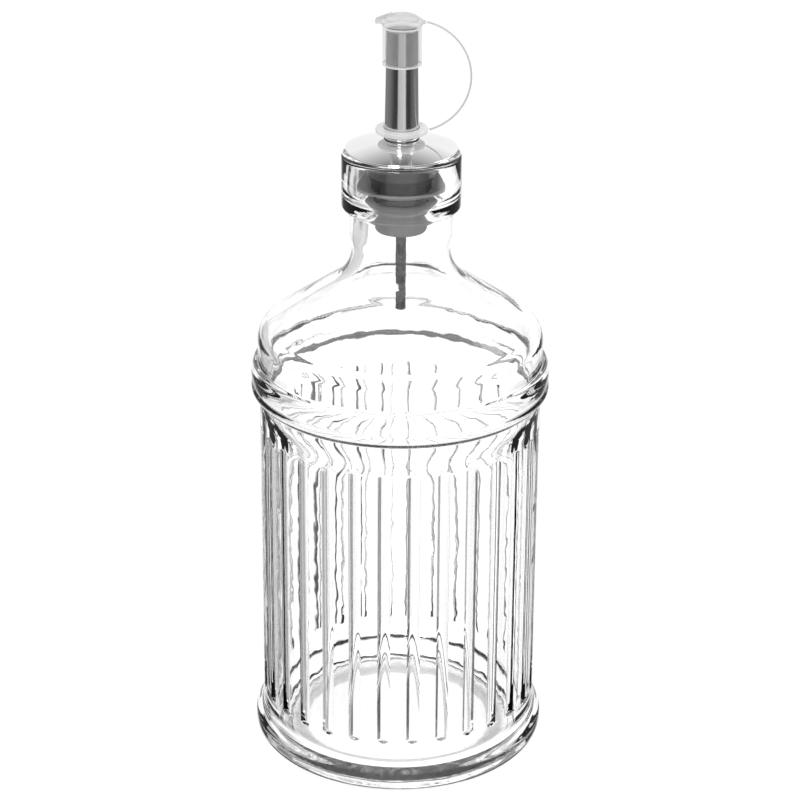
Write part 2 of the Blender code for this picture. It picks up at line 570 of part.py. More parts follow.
def make_cap(silicone):
    """The silicone cap: a thin sleeve with a roof, a flange, a domed button and a thumb tab."""
    curve = CAP_FLANGE_CURVE
    quarter = math.pi / 2
    outline = [(0, CAP_ROOF_LEVEL), (CAP_ROOF_RADIUS, CAP_ROOF_LEVEL),
               (CAP_BORE_RADIUS, CAP_BOTTOM), (CAP_SKIRT_RADIUS, CAP_BOTTOM),
               (CAP_SKIRT_RADIUS, CAP_FLANGE_BOTTOM)]
    outline += arc((CAP_FLANGE_RADIUS - curve, CAP_FLANGE_BOTTOM + curve), (curve, curve),
                   -quarter, 0, 2)
    outline += arc((CAP_FLANGE_RADIUS - curve, CAP_FLANGE_TOP - curve), (curve, curve),
                   0, quarter, 2)
    outline += [(CAP_BUTTON_RADIUS, CAP_FLANGE_TOP)]
    outline += arc((0, CAP_BUTTON_TOP), (CAP_BUTTON_RADIUS, CAP_DOME_HEIGHT), 0, quarter, 4)[:-1]
    outline += [(0, CAP_BUTTON_TOP + CAP_DOME_HEIGHT)]
    cap = turned("spout_cap", outline, silicone, STOPPER_FACETS)
    combine(cap, make_strap_lug(silicone), "UNION")
    combine(cap, make_thumb_tab(silicone), "UNION")
    for rib in make_tab_ribs(silicone):
        combine(cap, rib, "UNION")
    return cap


def turned_place(angle, along, across, height):
    """A place at a distance along and across a direction from the vertical axis."""
    forward = Vector((math.cos(angle), math.sin(angle), 0))
    sideways = Vector((-math.sin(angle), math.cos(angle), 0))
    return forward * along + sideways * across + Vector((0, 0, height))


def prism(name, outline, low, high, angle, surface):
    """A solid between two heights, from an outline along and across a direction."""
    mesh_data = bmesh.new()
    layers = [[mesh_data.verts.new(turned_place(angle, along, across, height))
               for along, across in outline] for height in (low, high)]
    for step in range(len(outline)):
        after = (step + 1) % len(outline)
        mesh_data.faces.new((layers[0][step], layers[0][after], layers[1][after], layers[1][step]))
    mesh_data.faces.new(layers[0])
    mesh_data.faces.new(layers[1])
    return finish(name, mesh_data, surface)


def make_strap_lug(silicone):
    """The small ear of the flange that the strap grows out of, tapered towards the strap."""
    root, tip = CAP_ROOF_RADIUS, CAP_FLANGE_RADIUS + LUG_REACH
    outline = [(root, -LUG_WIDTH / 2), (tip, -STRAP_WIDTH / 2), (tip, STRAP_WIDTH / 2),
               (root, LUG_WIDTH / 2)]
    middle = (CAP_FLANGE_BOTTOM + CAP_FLANGE_TOP) / 2
    return prism("strap_lug", outline, middle - LUG_THICKNESS / 2, middle + LUG_THICKNESS / 2,
                 0.0, silicone)


def make_thumb_tab(silicone):
    """The ear of the flange that a thumb lifts, with two rounded corners."""
    root = CAP_ROOF_RADIUS
    tip = CAP_FLANGE_RADIUS + TAB_REACH
    half = TAB_WIDTH / 2
    outline = [(root, -half / 2)]
    outline += arc((tip - TAB_CORNER, TAB_CORNER - half), (TAB_CORNER, TAB_CORNER), -math.pi / 2, 0)
    outline += arc((tip - TAB_CORNER, half - TAB_CORNER), (TAB_CORNER, TAB_CORNER), 0, math.pi / 2)
    outline += [(root, half / 2)]
    top = CAP_FLANGE_TOP - CAP_FLANGE_CURVE / 2
    return prism("thumb_tab", outline, top - TAB_THICKNESS, top, TAB_ANGLE, silicone)


def make_tab_ribs(silicone):
    """Grip ribs that run out along the top of the thumb tab."""
    ribs = []
    top = CAP_FLANGE_TOP - CAP_FLANGE_CURVE / 2
    tip = CAP_FLANGE_RADIUS + TAB_REACH - TAB_CORNER / 2
    pitch = (TAB_WIDTH - TAB_CORNER) / TAB_RIB_COUNT
    for count in range(TAB_RIB_COUNT):
        middle = pitch * (count - (TAB_RIB_COUNT - 1) / 2)
        left, right = middle - TAB_RIB_WIDTH / 2, middle + TAB_RIB_WIDTH / 2
        outline = [(tip - TAB_RIB_LENGTH, left), (tip, left), (tip, right),
                   (tip - TAB_RIB_LENGTH, right)]
        ribs.append(prism(f"tab_rib_{count + 1}", outline, top - TAB_THICKNESS / 2,
                          top + TAB_RIB_HEIGHT, TAB_ANGLE, silicone))
    return ribs


def build():
    for old in list(bpy.data.objects):
        bpy.data.objects.remove(old, do_unlink=True)
    glass = material("clear_glass", (0.93, 0.95, 0.95), 0.03, transmission=1.0, alpha=0.35)
    steel = material("polished_steel", (0.62, 0.62, 0.63), 0.12, metallic=1.0)
    core_plastic = material("dark_plastic", (0.055, 0.055, 0.06), 0.25)
    rubber = material("grey_rubber", (0.22, 0.22, 0.22), 0.6)
    vent_plastic = material("vent_plastic", (0.05, 0.05, 0.05), 0.4)
    silicone = material("clear_silicone", (0.82, 0.82, 0.82), 0.35, transmission=0.4, alpha=0.7)

    stopper = bpy.data.objects.new("stopper_frame", None)
    leash = bpy.data.objects.new("leash_frame", None)
    cap_frame = bpy.data.objects.new("cap_frame", None)
    for frame in (stopper, leash, cap_frame):
        bpy.context.collection.objects.link(frame)
    leash.parent = stopper
    cap_frame.parent = leash

    make_bottle(glass)
    in_stopper = [make_core(core_plastic), *make_seals(rubber), make_cover_disc(steel),
                  make_spout(steel), make_vent_tube(vent_plastic)]
    for piece in in_stopper:
        piece.parent = stopper
    for piece in (make_strap_ring(silicone), make_cap_strap(silicone)):
        piece.parent = leash
    make_cap(silicone).parent = cap_frame


build()
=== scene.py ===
import math

import bpy
import numpy as np
from mathutils import Matrix, Vector


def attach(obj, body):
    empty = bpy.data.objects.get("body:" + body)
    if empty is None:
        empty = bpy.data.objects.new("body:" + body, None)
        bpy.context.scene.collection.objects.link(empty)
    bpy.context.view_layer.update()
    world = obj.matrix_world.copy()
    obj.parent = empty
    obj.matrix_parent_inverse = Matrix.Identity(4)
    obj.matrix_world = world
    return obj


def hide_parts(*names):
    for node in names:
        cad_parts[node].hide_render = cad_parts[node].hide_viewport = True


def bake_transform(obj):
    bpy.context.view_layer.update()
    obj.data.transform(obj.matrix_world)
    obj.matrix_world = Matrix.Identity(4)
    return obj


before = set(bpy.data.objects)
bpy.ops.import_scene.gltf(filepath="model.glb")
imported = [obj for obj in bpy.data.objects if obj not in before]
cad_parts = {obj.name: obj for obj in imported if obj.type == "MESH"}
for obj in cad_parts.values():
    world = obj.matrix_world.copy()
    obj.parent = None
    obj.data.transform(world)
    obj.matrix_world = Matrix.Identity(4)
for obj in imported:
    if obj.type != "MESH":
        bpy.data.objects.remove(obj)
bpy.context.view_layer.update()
scene = bpy.context.scene
scene.view_settings.view_transform = "Standard"

# Camera: a long lens that looks down on the cruet from the front, level apart from a third of a
# degree, as the photograph was taken.
CAMERA_PLACE = (0.0, -0.7208, 0.4207)
CAMERA_PITCH = math.radians(23.64)
CAMERA_ROLL = math.radians(0.35)
LENS_MM = 123.95
SENSOR_MM = 36
NEAREST, FURTHEST = 0.05, 50

bpy.ops.object.camera_add(location=CAMERA_PLACE)
camera = bpy.context.object
tilt = Matrix.Rotation(math.pi / 2 - CAMERA_PITCH, 3, "X") @ Matrix.Rotation(CAMERA_ROLL, 3, "Z")
camera.rotation_euler = tilt.to_euler()
camera.data.sensor_width = SENSOR_MM
camera.data.lens = LENS_MM
camera.data.clip_start = NEAREST
camera.data.clip_end = FURTHEST
scene.camera = camera


# Studio: a white table that runs on without an edge, under a white surround. Glass and metal see
# the room round it: white behind the object and below, dark strips on both sides, and a grey band
# above the surround. What diffuse surfaces see is one plain level.
class Shade:
    """A value in a material. Sums with it add Math nodes, and node() adds any other node."""

    def __init__(self, tree, socket=None):
        self.tree = tree
        self.socket = socket

    def node(self, kind, links=None, out=0, stops=None, **settings):
        made = self.tree.nodes.new("ShaderNode" + kind)
        for name, value in settings.items():
            setattr(made, name, value)
        if stops:
            ramp = made.color_ramp.elements
            while len(ramp) < len(stops):
                ramp.new(0.5)
            for element, (place, grey) in zip(ramp, stops):
                element.position = place
                element.color = (grey, grey, grey, 1) if isinstance(grey, (int, float)) else (*grey, 1)
        for name, value in (links or {}).items():
            if isinstance(value, Shade):
                self.tree.links.new(value.socket, made.inputs[name])
            else:
                made.inputs[name].default_value = value
        return Shade(self.tree, made.outputs[out])

    def other(self, name):
        """Another output of the node that this value comes from."""
        return Shade(self.tree, self.socket.node.outputs[name])

    def maths(self, operation, *values):
        return self.node("Math", dict(enumerate(values)), operation=operation)

    def __add__(self, other):
        return self.maths("ADD", self, other)

    def __sub__(self, other):
        return self.maths("SUBTRACT", self, other)

    def __rsub__(self, other):
        return self.maths("SUBTRACT", other, self)

    def __mul__(self, other):
        return self.maths("MULTIPLY", self, other)

    def __truediv__(self, other):
        return self.maths("DIVIDE", self, other)

    __radd__ = __add__
    __rmul__ = __mul__

    def clamped(self):
        return self.node("Clamp", {"Value": self})

    def above(self, level, fade):
        """0 up to a level, then rising to 1 over the width of the fade."""
        return ((self - level) / fade).clamped()

    def below(self, level, fade):
        """0 down to a level, then rising to 1 over the width of the fade."""
        return ((level - self) / fade).clamped()

    def ramp(self, *stops):
        return self.node("ValToRGB", {"Fac": self}, stops=stops)

    def blend(self, low, high):
        """The colour low where this value is 0, high where it is 1."""
        return self.node("MixRGB", {"Fac": self, 1: low, 2: high})

    def choose(self, low, high):
        """The shader low where this value is 0, high where it is 1."""
        return self.node("MixShader", {0: self, 1: low, 2: high})

    def noise(self, scale, detail):
        """Cloudy noise at the place that this value holds."""
        return self.node("TexNoise", {"Vector": self, "Scale": scale, "Detail": detail})

    def relief(self, strength, depth, under=None):
        """Bumps as high as this value, on top of other bumps where they are given."""
        links = {"Height": self, "Strength": strength, "Distance": depth}
        if under:
            links["Normal"] = under
        return self.node("Bump", links)

    def from_axis(self):
        """How far the place that this value holds is from the upright axis."""
        east = self.node("SeparateXYZ", {"Vector": self}, out="X")
        north = east.other("Y")
        return self.maths("SQRT", east * east + north * north)

    def shown(self, output="OutputMaterial"):
        """Make this shader the surface of its material, or the light of its world."""
        made = self.tree.nodes.new("ShaderNode" + output)
        self.tree.links.new(self.socket, made.inputs["Surface"])


def new_material(name):
    """An empty material, and the place on the object that its patterns read."""
    made = bpy.data.materials.new(name)
    made.use_nodes = True
    made.node_tree.nodes.clear()
    return made, Shade(made.node_tree).node("TexCoord", out="Object")


TABLE_RADIUS = 6.0
TABLE_LEVEL = -0.00005
TABLE_COLOUR = (0.86, 0.86, 0.86, 1)
TABLE_GLOW = 1.06
TABLE_GLOW_SHARE = 0.9
SHADOW_INSIDE, SHADOW_OUTSIDE = 0.0270, 0.0320
SHADOW_FADE = 0.0010
SHADOW_SHARE = 0.42
SHADOW_COLOUR = (0.05, 0.05, 0.05, 1)
WHITE = (1, 1, 1, 1)

bpy.ops.object.select_all(action="DESELECT")
bpy.ops.mesh.primitive_circle_add(vertices=96, radius=TABLE_RADIUS, fill_type="NGON",
                                  location=(0, 0, TABLE_LEVEL))
table = bpy.context.object
table.name = "table_top"

# Seen through the glass or mirrored, the table is clear apart from the shadow where the foot rests.
table_paint, spot = new_material("table_white")
camera_ray = spot.node("LightPath", out="Is Camera Ray")
mirrored = (camera_ray.other("Is Glossy Ray") + camera_ray.other("Is Transmission Ray")).clamped()
lit = spot.node("BsdfDiffuse", {"Color": TABLE_COLOUR})
glow = spot.node("Emission", {"Color": WHITE, "Strength": TABLE_GLOW})
radius = spot.from_axis()
shadowed = radius.above(SHADOW_INSIDE, SHADOW_FADE) * radius.below(SHADOW_OUTSIDE, SHADOW_FADE)
shadow = spot.node("Emission", {"Color": SHADOW_COLOUR})
clear = (shadowed * SHADOW_SHARE).choose(spot.node("BsdfTransparent"), shadow)
mirrored.choose((camera_ray * TABLE_GLOW_SHARE).choose(lit, glow), clear).shown()
table.data.materials.append(table_paint)


def turn_stops(*stops):
    """Stops of a ramp round the room, from directions in degrees between -180 and 180."""
    return [((degrees + 180) / 360, grey) for degrees, grey in stops]


# Directions are counted from the right, and the camera stands at -90. Heights are the upward part
# of a direction of length one.
ROOM_LIGHT = (0.75, 0.75, 0.75, 1)
GLASS_GAIN = 1.22
FLAG = 0.05
GAP = 0.25

world = bpy.data.worlds.new("studio")
scene.world = world
world.use_nodes = True
world.node_tree.nodes.clear()
sky = Shade(world.node_tree)
camera_ray = sky.node("LightPath", out="Is Camera Ray")
through = camera_ray.other("Is Transmission Ray")
mirrored = (camera_ray.other("Is Glossy Ray") + through).clamped()
mirrored = mirrored * (1.0 - camera_ray.other("Diffuse Depth").clamped())
east = sky.node("SeparateXYZ", {"Vector": sky.node("TexCoord", out="Generated")}, out="X")
height = east.other("Z")
turn = sky.maths("ARCTAN2", east.other("Y"), east) / (2 * math.pi) + 0.5

low_turn = turn.ramp(*turn_stops(
    (-180, 0.5), (-165, 0.3), (-140, 0.3), (-122, 0.8), (-100, 0.95), (-50, 0.95), (-36, 0.8),
    (-26, 0.3), (-18, 0.14), (2, 0.14), (10, 1.0), (108, 1.0), (111, FLAG), (120, FLAG), (125, 0.7),
    (138, 0.6), (142, 0.25), (160, 0.3), (180, 0.5)))
high_turn = turn.ramp(*turn_stops(
    (-180, 0.7), (-120, 0.8), (-100, 0.95), (-36, 0.9), (-20, 0.6), (10, 0.9), (20, 1.0), (108, 1.0),
    (112, 0.45), (120, 0.6), (150, 0.6), (180, 0.7)))
round_glass = height.above(-0.42, 0.05).blend(low_turn, high_turn)
over_glass = ((height + 1.0) / 2).ramp(*[((level + 1) / 2, grey) for level, grey in (
    (0.19, 1.0), (0.24, GAP), (0.52, GAP), (0.60, 1.0))])
glass_sees = height.below(-0.50, 0.14).blend(round_glass, WHITE) * over_glass * GLASS_GAIN

round_metal = turn.ramp(*turn_stops(
    (-180, 0.2), (-160, 0.12), (-143, 0.05), (-120, 0.05), (-114, 0.58), (-66, 0.72), (-60, 0.05),
    (-36, 0.05), (-20, 0.12), (8, 0.2), (60, 0.25), (68, 1.0), (112, 1.0), (120, 0.25), (180, 0.2)))
over_metal = height.ramp((0.0, 1.0), (0.45, 1.0), (0.62, 0.8), (0.80, 0.45), (0.92, 0.10))
metal_sees = height.above(0.05, 0.15).blend(round_metal, WHITE) * over_metal

light = mirrored.blend(ROOM_LIGHT, through.blend(metal_sees, glass_sees))
light = camera_ray.blend(light, WHITE)
sky.node("Background", {"Color": light, "Strength": 1.0}).shown("OutputWorld")

LAMP_AIM = Vector((0, 0, 0.12))
for name, place, size, watts in (("key_softbox", (-0.35, -1.1, 1.3), 0.5, 9.0),
                                 ("fill_softbox", (1.2, 0.3, 1.0), 0.8, 5.0)):
    bpy.ops.object.light_add(type="AREA", location=place)
    lamp = bpy.context.object
    lamp.name = name
    lamp.data.size = size
    lamp.data.energy = watts
    lamp.rotation_euler = (LAMP_AIM - Vector(place)).to_track_quat("-Z", "Y").to_euler()


# Bottle: one piece of clear glass, pressed and blown in a two-part mould. It has a rolled foot,
# thirty flutes, a double bead at the shoulder, a shallow dome and a thick lip for the stopper.
LIGHT_BOUNCES = 24
FLUTES = 30
FLUTE_STEPS, LAND_STEPS = 10, 4
FLUTE_LOW, FLUTE_HIGH = 0.0154, 0.1002
FLUTE_HALF_SHARE = 0.22
FLUTE_DEPTH = 0.0009
FLUTE_END = 0.0013
END_ROWS_OVER = 0.0003
BODY_RADIUS = 0.0400
BEAD_RADIUS = 0.0423
INSIDE_RADIUS = 0.0362
OUTER_FACE_FROM = 0.0395
WELD = 0.000002
SHARP_EDGE = math.radians(33)

scene.cycles.max_bounces = LIGHT_BOUNCES
scene.cycles.transmission_bounces = LIGHT_BOUNCES


def arc(centre, radii, start, end, steps):
    """Points (radius, height) on an ellipse between two angles in degrees, both ends included."""
    angles = np.radians(np.linspace(start, end, steps + 1))
    return [(centre[0] + radii[0] * math.cos(a), centre[1] + radii[1] * math.sin(a)) for a in angles]


def sweep(start, end, steps):
    """Points on an S-shaped curve that is upright at both ends."""
    shares = np.linspace(0, 1, steps + 1)
    return [(start[0] + (end[0] - start[0]) * (1 - math.cos(math.pi * share)) / 2,
             start[1] + (end[1] - start[1]) * share) for share in shares]


def swell(crest, end, steps):
    """Points on a swelling curve that is upright at its crest and falls away to its end."""
    shares = np.linspace(0, 1, steps + 1)
    return [(crest[0] + (end[0] - crest[0]) * share ** 2,
             crest[1] + (end[1] - crest[1]) * share) for share in shares]


def run(start, end, steps):
    """Evenly spaced points on a straight line."""
    return [tuple(point) for point in np.linspace(start, end, steps + 1)]


def traced(name, points):
    """A line through some points, drawn with one vertex, and left selected in edit mode."""
    bpy.ops.object.select_all(action="DESELECT")
    bpy.ops.mesh.primitive_plane_add(size=0.001)
    piece = bpy.context.object
    piece.name = name
    piece.data.name = name
    bpy.ops.object.mode_set(mode="EDIT")
    bpy.ops.mesh.merge(type="CENTER")
    bpy.ops.transform.translate(value=points[0])
    for before, after in zip(points, points[1:]):
        if (after - before).length > WELD / 2:
            bpy.ops.mesh.extrude_region_move(TRANSFORM_OT_translate={"value": after - before})
    bpy.ops.mesh.select_all(action="SELECT")
    return piece


def closed_up(piece):
    """Weld a piece's seams, point its faces out and smooth all but its sharp edges."""
    bpy.context.view_layer.objects.active = piece
    bpy.ops.object.mode_set(mode="EDIT")
    bpy.ops.mesh.select_all(action="SELECT")
    bpy.ops.mesh.remove_doubles(threshold=WELD)
    bpy.ops.mesh.normals_make_consistent(inside=False)
    bpy.ops.object.mode_set(mode="OBJECT")
    bpy.ops.object.shade_smooth_by_angle(angle=SHARP_EDGE)
    return piece


def applied(piece, modifier):
    """Work a modifier into its piece's mesh."""
    bpy.context.view_layer.objects.active = piece
    bpy.ops.object.modifier_apply(modifier=modifier.name)


def dress(piece, material, body, node):
    """Give a piece its material and its moving body, and hide the node of the solid model it stands
    for.
    """
    piece.data.materials.clear()
    piece.data.materials.append(material)
    if body:
        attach(piece, body)
    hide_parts(node)


underside = [(0, 0.0022), (0.0120, 0.0020), (0.0240, 0.0016), (0.0300, 0.0013)]
underside += arc((0.0320, 0.0006), (0.0016, 0.0006), 90, 20, 4) + [(0.0348, 0.0), (0.03885, 0.0)]
foot = arc((0.0388, 0.0047), (0.0035, 0.0047), -90, 0, 14)
foot += sweep((BEAD_RADIUS, 0.0060), (BODY_RADIUS, 0.0110), 12)
body_wall = run((BODY_RADIUS, 0.0120), (BODY_RADIUS, FLUTE_LOW - 0.0004), 2)
body_wall += run((BODY_RADIUS, FLUTE_LOW), (BODY_RADIUS, FLUTE_LOW + FLUTE_END + END_ROWS_OVER), 7)
body_wall += run((BODY_RADIUS, FLUTE_LOW + 0.0040), (BODY_RADIUS, FLUTE_HIGH - 0.0040), 6)
body_wall += run((BODY_RADIUS, FLUTE_HIGH - FLUTE_END - END_ROWS_OVER), (BODY_RADIUS, FLUTE_HIGH), 7)
body_wall += run((BODY_RADIUS, 0.1020), (BODY_RADIUS, 0.1080), 2)
bead = [(BODY_RADIUS, 0.1081), (0.04005, 0.1082)] + run((0.0402, 0.1083), (0.0411, 0.1092), 3)
bead += run((0.0412, 0.1094), (0.0420, 0.1102), 3) + [(0.0421, 0.1104), (0.04225, 0.1107)]
bead += swell((BEAD_RADIUS, 0.1110), (0.0419, 0.1122), 4)
bead += swell((BEAD_RADIUS, 0.1156), (0.0419, 0.11245), 8)[::-1]
bead += swell((BEAD_RADIUS, 0.1156), (0.0417, 0.1179), 5)[1:]
bead += [(0.0415, 0.1183), (0.0412, 0.1186), (0.0408, 0.11885), (0.0406, 0.1190), (0.0404, 0.1193)]
dome = arc((0.03435, 0.1246), (0.0060, 0.0060), 0, 55.5, 12)
dome += arc((0.0257, 0.15239), (0.0120, 0.0120), 235.5, 180, 12)
neck = sweep((0.0137, 0.15239), (0.0146, 0.15699), 6)[1:] + [(0.0146, 0.1627)]
lip = arc((0.0153, 0.16285), (0.0007, 0.0007), 180, 90, 4)
lip += arc((0.01525, 0.1650), (0.0014, 0.0014), -90, 0, 8)
lip += arc((0.01525, 0.1784), (0.0014, 0.0014), 0, 90, 8)
lip += arc((0.0136, 0.1790), (0.0008, 0.0008), 90, 180, 5)
mouth = sweep((0.0128, 0.1700), (0.0110, 0.1628), 8)
inside = arc((0.0257, 0.15239), (0.0147, 0.0147), 180, 235.5, 12)
inside += arc((0.03435, 0.1246), (0.0033, 0.0033), 55.5, 0, 8)
inside += sweep((0.03765, 0.1065), (INSIDE_RADIUS, 0.0965), 6)
inside += run((INSIDE_RADIUS, 0.0900), (INSIDE_RADIUS, 0.0200), 5)
inside += arc((0.0342, 0.0064), (0.0020, 0.0020), 0, -90, 8)
inside += [(0.0300, 0.0044), (0.0240, 0.0046), (0.0120, 0.0049), (0, 0.0050)]
outline = underside + foot + body_wall + bead + dome + neck + lip + mouth + inside

# One flute and the plain land beside it are spun, pressed in, and set thirty times round the axis.
pitch = 2 * math.pi / FLUTES
bottle = traced("bottle_glass", [Vector((radius, 0, height)) for radius, height in outline])
bpy.ops.transform.rotate(value=-pitch * FLUTE_HALF_SHARE, orient_axis="Z", center_override=(0, 0, 0))
for steps, share in ((FLUTE_STEPS, 2 * FLUTE_HALF_SHARE), (LAND_STEPS, 1 - 2 * FLUTE_HALF_SHARE)):
    bpy.ops.mesh.spin(steps=steps, angle=pitch * share, center=(0, 0, 0), axis=(0, 0, 1))
bpy.ops.object.mode_set(mode="OBJECT")
places = np.empty(len(bottle.data.vertices) * 3)
bottle.data.vertices.foreach_get("co", places)
x, y, z = places.reshape(-1, 3).T
across = np.abs(np.arctan2(y, x)) / (pitch * FLUTE_HALF_SHARE)
beyond = np.maximum(0, np.maximum(FLUTE_LOW + FLUTE_END - z, z - FLUTE_HIGH + FLUTE_END))
pressed = np.clip(1 - across ** 2 - (beyond / FLUTE_END) ** 2, 0, 1)
pressed[np.hypot(x, y) < OUTER_FACE_FROM] = 0
flutes = bottle.vertex_groups.new(name="flutes")
for vertex in np.nonzero(pressed)[0]:
    flutes.add([int(vertex)], float(pressed[vertex]), "REPLACE")
press = bottle.modifiers.new("press_flute", "DISPLACE")
press.vertex_group = "flutes"
press.strength = -FLUTE_DEPTH
press.mid_level = 0.0
applied(bottle, press)
bpy.ops.object.empty_add()
hub = bpy.context.object
hub.rotation_euler.z = pitch
bpy.context.view_layer.update()
round_axis = bottle.modifiers.new("set_round_axis", "ARRAY")
round_axis.count = FLUTES
round_axis.use_relative_offset = False
round_axis.use_object_offset = True
round_axis.offset_object = hub
applied(bottle, round_axis)
bpy.data.objects.remove(hub)
bpy.ops.object.select_all(action="DESELECT")
bottle.select_set(True)
closed_up(bottle)

# The glass is slightly rippled. The edge of its raised underside is frosted and blotchy, and the
# groove under the bead and the lower ends of the flutes are darkened with painted shade.
FROST = 0.32
# The first greys the frosted blotches. The other two set how dark the painted shade is under the bead
# and at the lower flute ends.
BLOTCH_GREY, BEAD_SHADE_DARKENING, FLUTE_END_SHADE_DARKENING = 0.28, 0.98, 0.8

glass, spot = new_material("clear_glass")
radius = spot.from_axis()
height = spot.node("SeparateXYZ", {"Vector": spot}, out="Z")
frosted = radius.above(0.0265, 0.003) * radius.below(0.0328, 0.0006) * height.below(0.0030, 0.0006)
# Painted shade under the bead: this mask darkens the glass colour there almost to black.
bead_painted_shade = radius.above(0.0401, 0.0003) * height.above(0.1080, 0.0003) * height.below(0.1100, 0.0003)
# Painted shade at the lower ends of the flutes: this mask greys the glass colour there.
flute_end_painted_shade = radius.below(0.03995, 0.00015) * radius.above(0.0385, 0.0003)
flute_end_painted_shade = flute_end_painted_shade * height.below(0.0164, 0.0004) * height.above(0.0140, 0.0003)
blotches = spot.noise(320.0, 3.0).above(0.46, 0.25) * frosted
ripples = spot.noise(90.0, 2.0).relief(0.12, 0.001)
stipple = (spot.noise(600.0, 2.0) * frosted).relief(0.35, 0.0005, under=ripples)
tone_and_painted_shade = 1.0 - bead_painted_shade * BEAD_SHADE_DARKENING - blotches * BLOTCH_GREY - flute_end_painted_shade * FLUTE_END_SHADE_DARKENING
spot.node("BsdfPrincipled", {
    "Base Color": tone_and_painted_shade, "Roughness": frosted * FROST, "IOR": 1.5,
    "Transmission Weight": 1.0, "Normal": stipple}).shown()
dress(bottle, glass, "glass", "bottle")


# Cover disc: a spun dome of polished steel with a rounded rim, on top of the lip. It is held down
# by the bead of the spout, and mirrors the spout and the ring.
def turned(name, outline_mm, steps, closed=True):
    """A turned piece: an outline of (radius, height) in millimetres is drawn and spun round."""
    points = [Vector((radius / 1000, 0, height / 1000)) for radius, height in outline_mm]
    piece = traced(name, points + points[:1] if closed else points)
    bpy.ops.mesh.spin(steps=steps, angle=2 * math.pi, center=(0, 0, 0), axis=(0, 0, 1))
    return closed_up(piece)


outline = arc((0, 141.96), (42, 42), 68.4, 83.3, 14) + arc((0, 141.96), (41.2, 41.2), 83.1, 68.1, 10)
outline += arc((15.28, 180.65), (0.32, 0.32), -90, 60, 6)
disc = turned("disc_dome", outline, 160)
steel, spot = new_material("disc_steel")
smear = spot.noise(90.0, 3.0)
spot.node("BsdfPrincipled", {
    "Base Color": smear.ramp((0.3, 0.84), (0.7, 0.9)), "Metallic": 1.0,
    "Roughness": smear.ramp((0.3, 0.04), (0.7, 0.09)),
    "Normal": spot.noise(35.0, 1.0).relief(0.012, 0.001)}).shown()
dress(disc, steel, "stopper", "cover_disc")


# Spout: a tapered steel tube, drawn and polished, with a rolled bead at its foot that seats on the
# disc. Its stem is pressed into the core below.
outline = [(4.1, 171.57), (4.6, 171.57), (4.6, 183.97)]
outline += arc((4.62, 184.5), (0.38, 0.53), -90, 90, 10) + [(4.78, 185.1)]
outline += run((4.775, 185.4), (4.323, 214.1), 6) + arc((4.17, 214.22), (0.15, 0.15), 0, 90, 4)
outline += [(3.82, 214.37), (4.1, 183.9)]
spout = turned("spout_barrel", outline, 96)
steel, spot = new_material("spout_steel")
drawn = spot.node("Mapping", {"Vector": spot, "Scale": (1, 1, 0.06)}).noise(900.0, 3.0)
spot.node("BsdfPrincipled", {
    "Base Color": drawn.ramp((0.3, 0.74), (0.7, 0.86)), "Metallic": 1.0,
    "Roughness": drawn.ramp((0.3, 0.09), (0.7, 0.17)),
    "Normal": drawn.relief(0.06, 0.0002)}).shown()
dress(spout, steel, "stopper", "spout_tube")


# Core: the moulded dark plastic body of the stopper, with a thick flange in the mouth, a waist and
# a stem that carries the lower seal. The oil runs up through its middle.
outline = [(1.75, 160.0), (5.9, 160.0), (6.0, 160.1), (6.0, 165.99), (7.8, 165.99), (7.9, 166.1)]
outline += [(7.9, 168.19), (7.5, 168.19), (7.5, 169.79), (8.5, 169.79), (8.6, 169.9), (8.6, 171.6)]
outline += [(8.65, 171.85)] + run((8.8, 172.1), (9.8, 173.75), 5) + [(9.95, 174.1), (10.0, 174.4)]
outline += arc((9.2, 178.0), (0.8, 0.89), 0, 90, 8)
outline += [(6.6, 178.89), (6.6, 182.2), (6.5, 182.32), (4.9, 182.32), (4.9, 171.27), (4.0, 171.27)]
outline += [(4.0, 162.2), (1.75, 162.2)]
core = turned("core_moulding", outline, 96)
plastic, spot = new_material("core_plastic")
grain = spot.noise(240.0, 4.0)
flow = spot.noise(50.0, 1.0)
spot.node("BsdfPrincipled", {
    "Base Color": grain.ramp((0.3, (0.024, 0.024, 0.025)), (0.7, (0.036, 0.036, 0.039))),
    "Roughness": flow.ramp((0.3, 0.14), (0.7, 0.26)),
    "Normal": flow.relief(0.08, 0.001)}).shown()
dress(core, plastic, "stopper", "stopper_core")


# Seals: two rings of grey rubber, stretched over the core. The upper one has a lip that flares up
# to the mouth's bore. The lower one is a cup with a thin fin at its top that wipes the neck's bore.
outline = [(7.8, 168.49), (8.2, 168.49)] + arc((12.1, 170.89), (0.4, 0.4), -60, 120, 8)
outline += [(9.1, 169.49), (7.8, 169.49)]
upper_seal = turned("upper_seal", outline, 96)
outline = [(6.3, 165.69), (7.9, 165.69)] + arc((10.2, 164.89), (0.5, 0.5), 90, -90, 8)
outline += sweep((8.6, 164.1), (8.2, 162.6), 4) + sweep((8.15, 162.3), (7.3, 158.7), 6)[1:]
outline += arc((6.3, 158.5), (1.0, 1.0), 0, -90, 8)
outline += [(4.7, 157.5), (4.6, 157.6), (4.6, 159.69), (6.3, 159.69)]
lower_seal = turned("lower_seal", outline, 96)
for piece, node, lightest in ((upper_seal, "upper_seal_ring", 0.42),
                              (lower_seal, "lower_seal_plug", 0.36)):
    rubber, spot = new_material(node + "_rubber")
    dust = spot.noise(700.0, 5.0)
    spot.node("BsdfPrincipled", {
        "Base Color": dust.ramp((0.3, lightest - 0.05), (0.7, lightest)),
        "Roughness": dust.ramp((0.3, 0.42), (0.7, 0.6)),
        "Normal": dust.relief(0.15, 0.0003)}).shown()
    dress(piece, rubber, "stopper", node)


# Vent tube: a thin dark plastic tube that lets air into the bottle, held in the core's web. It is
# drawn, cut off square and slightly uneven.
VENT_RADIUS = 1.45
VENT_WAVE, WAVE_TURN = 0.05, 2.9

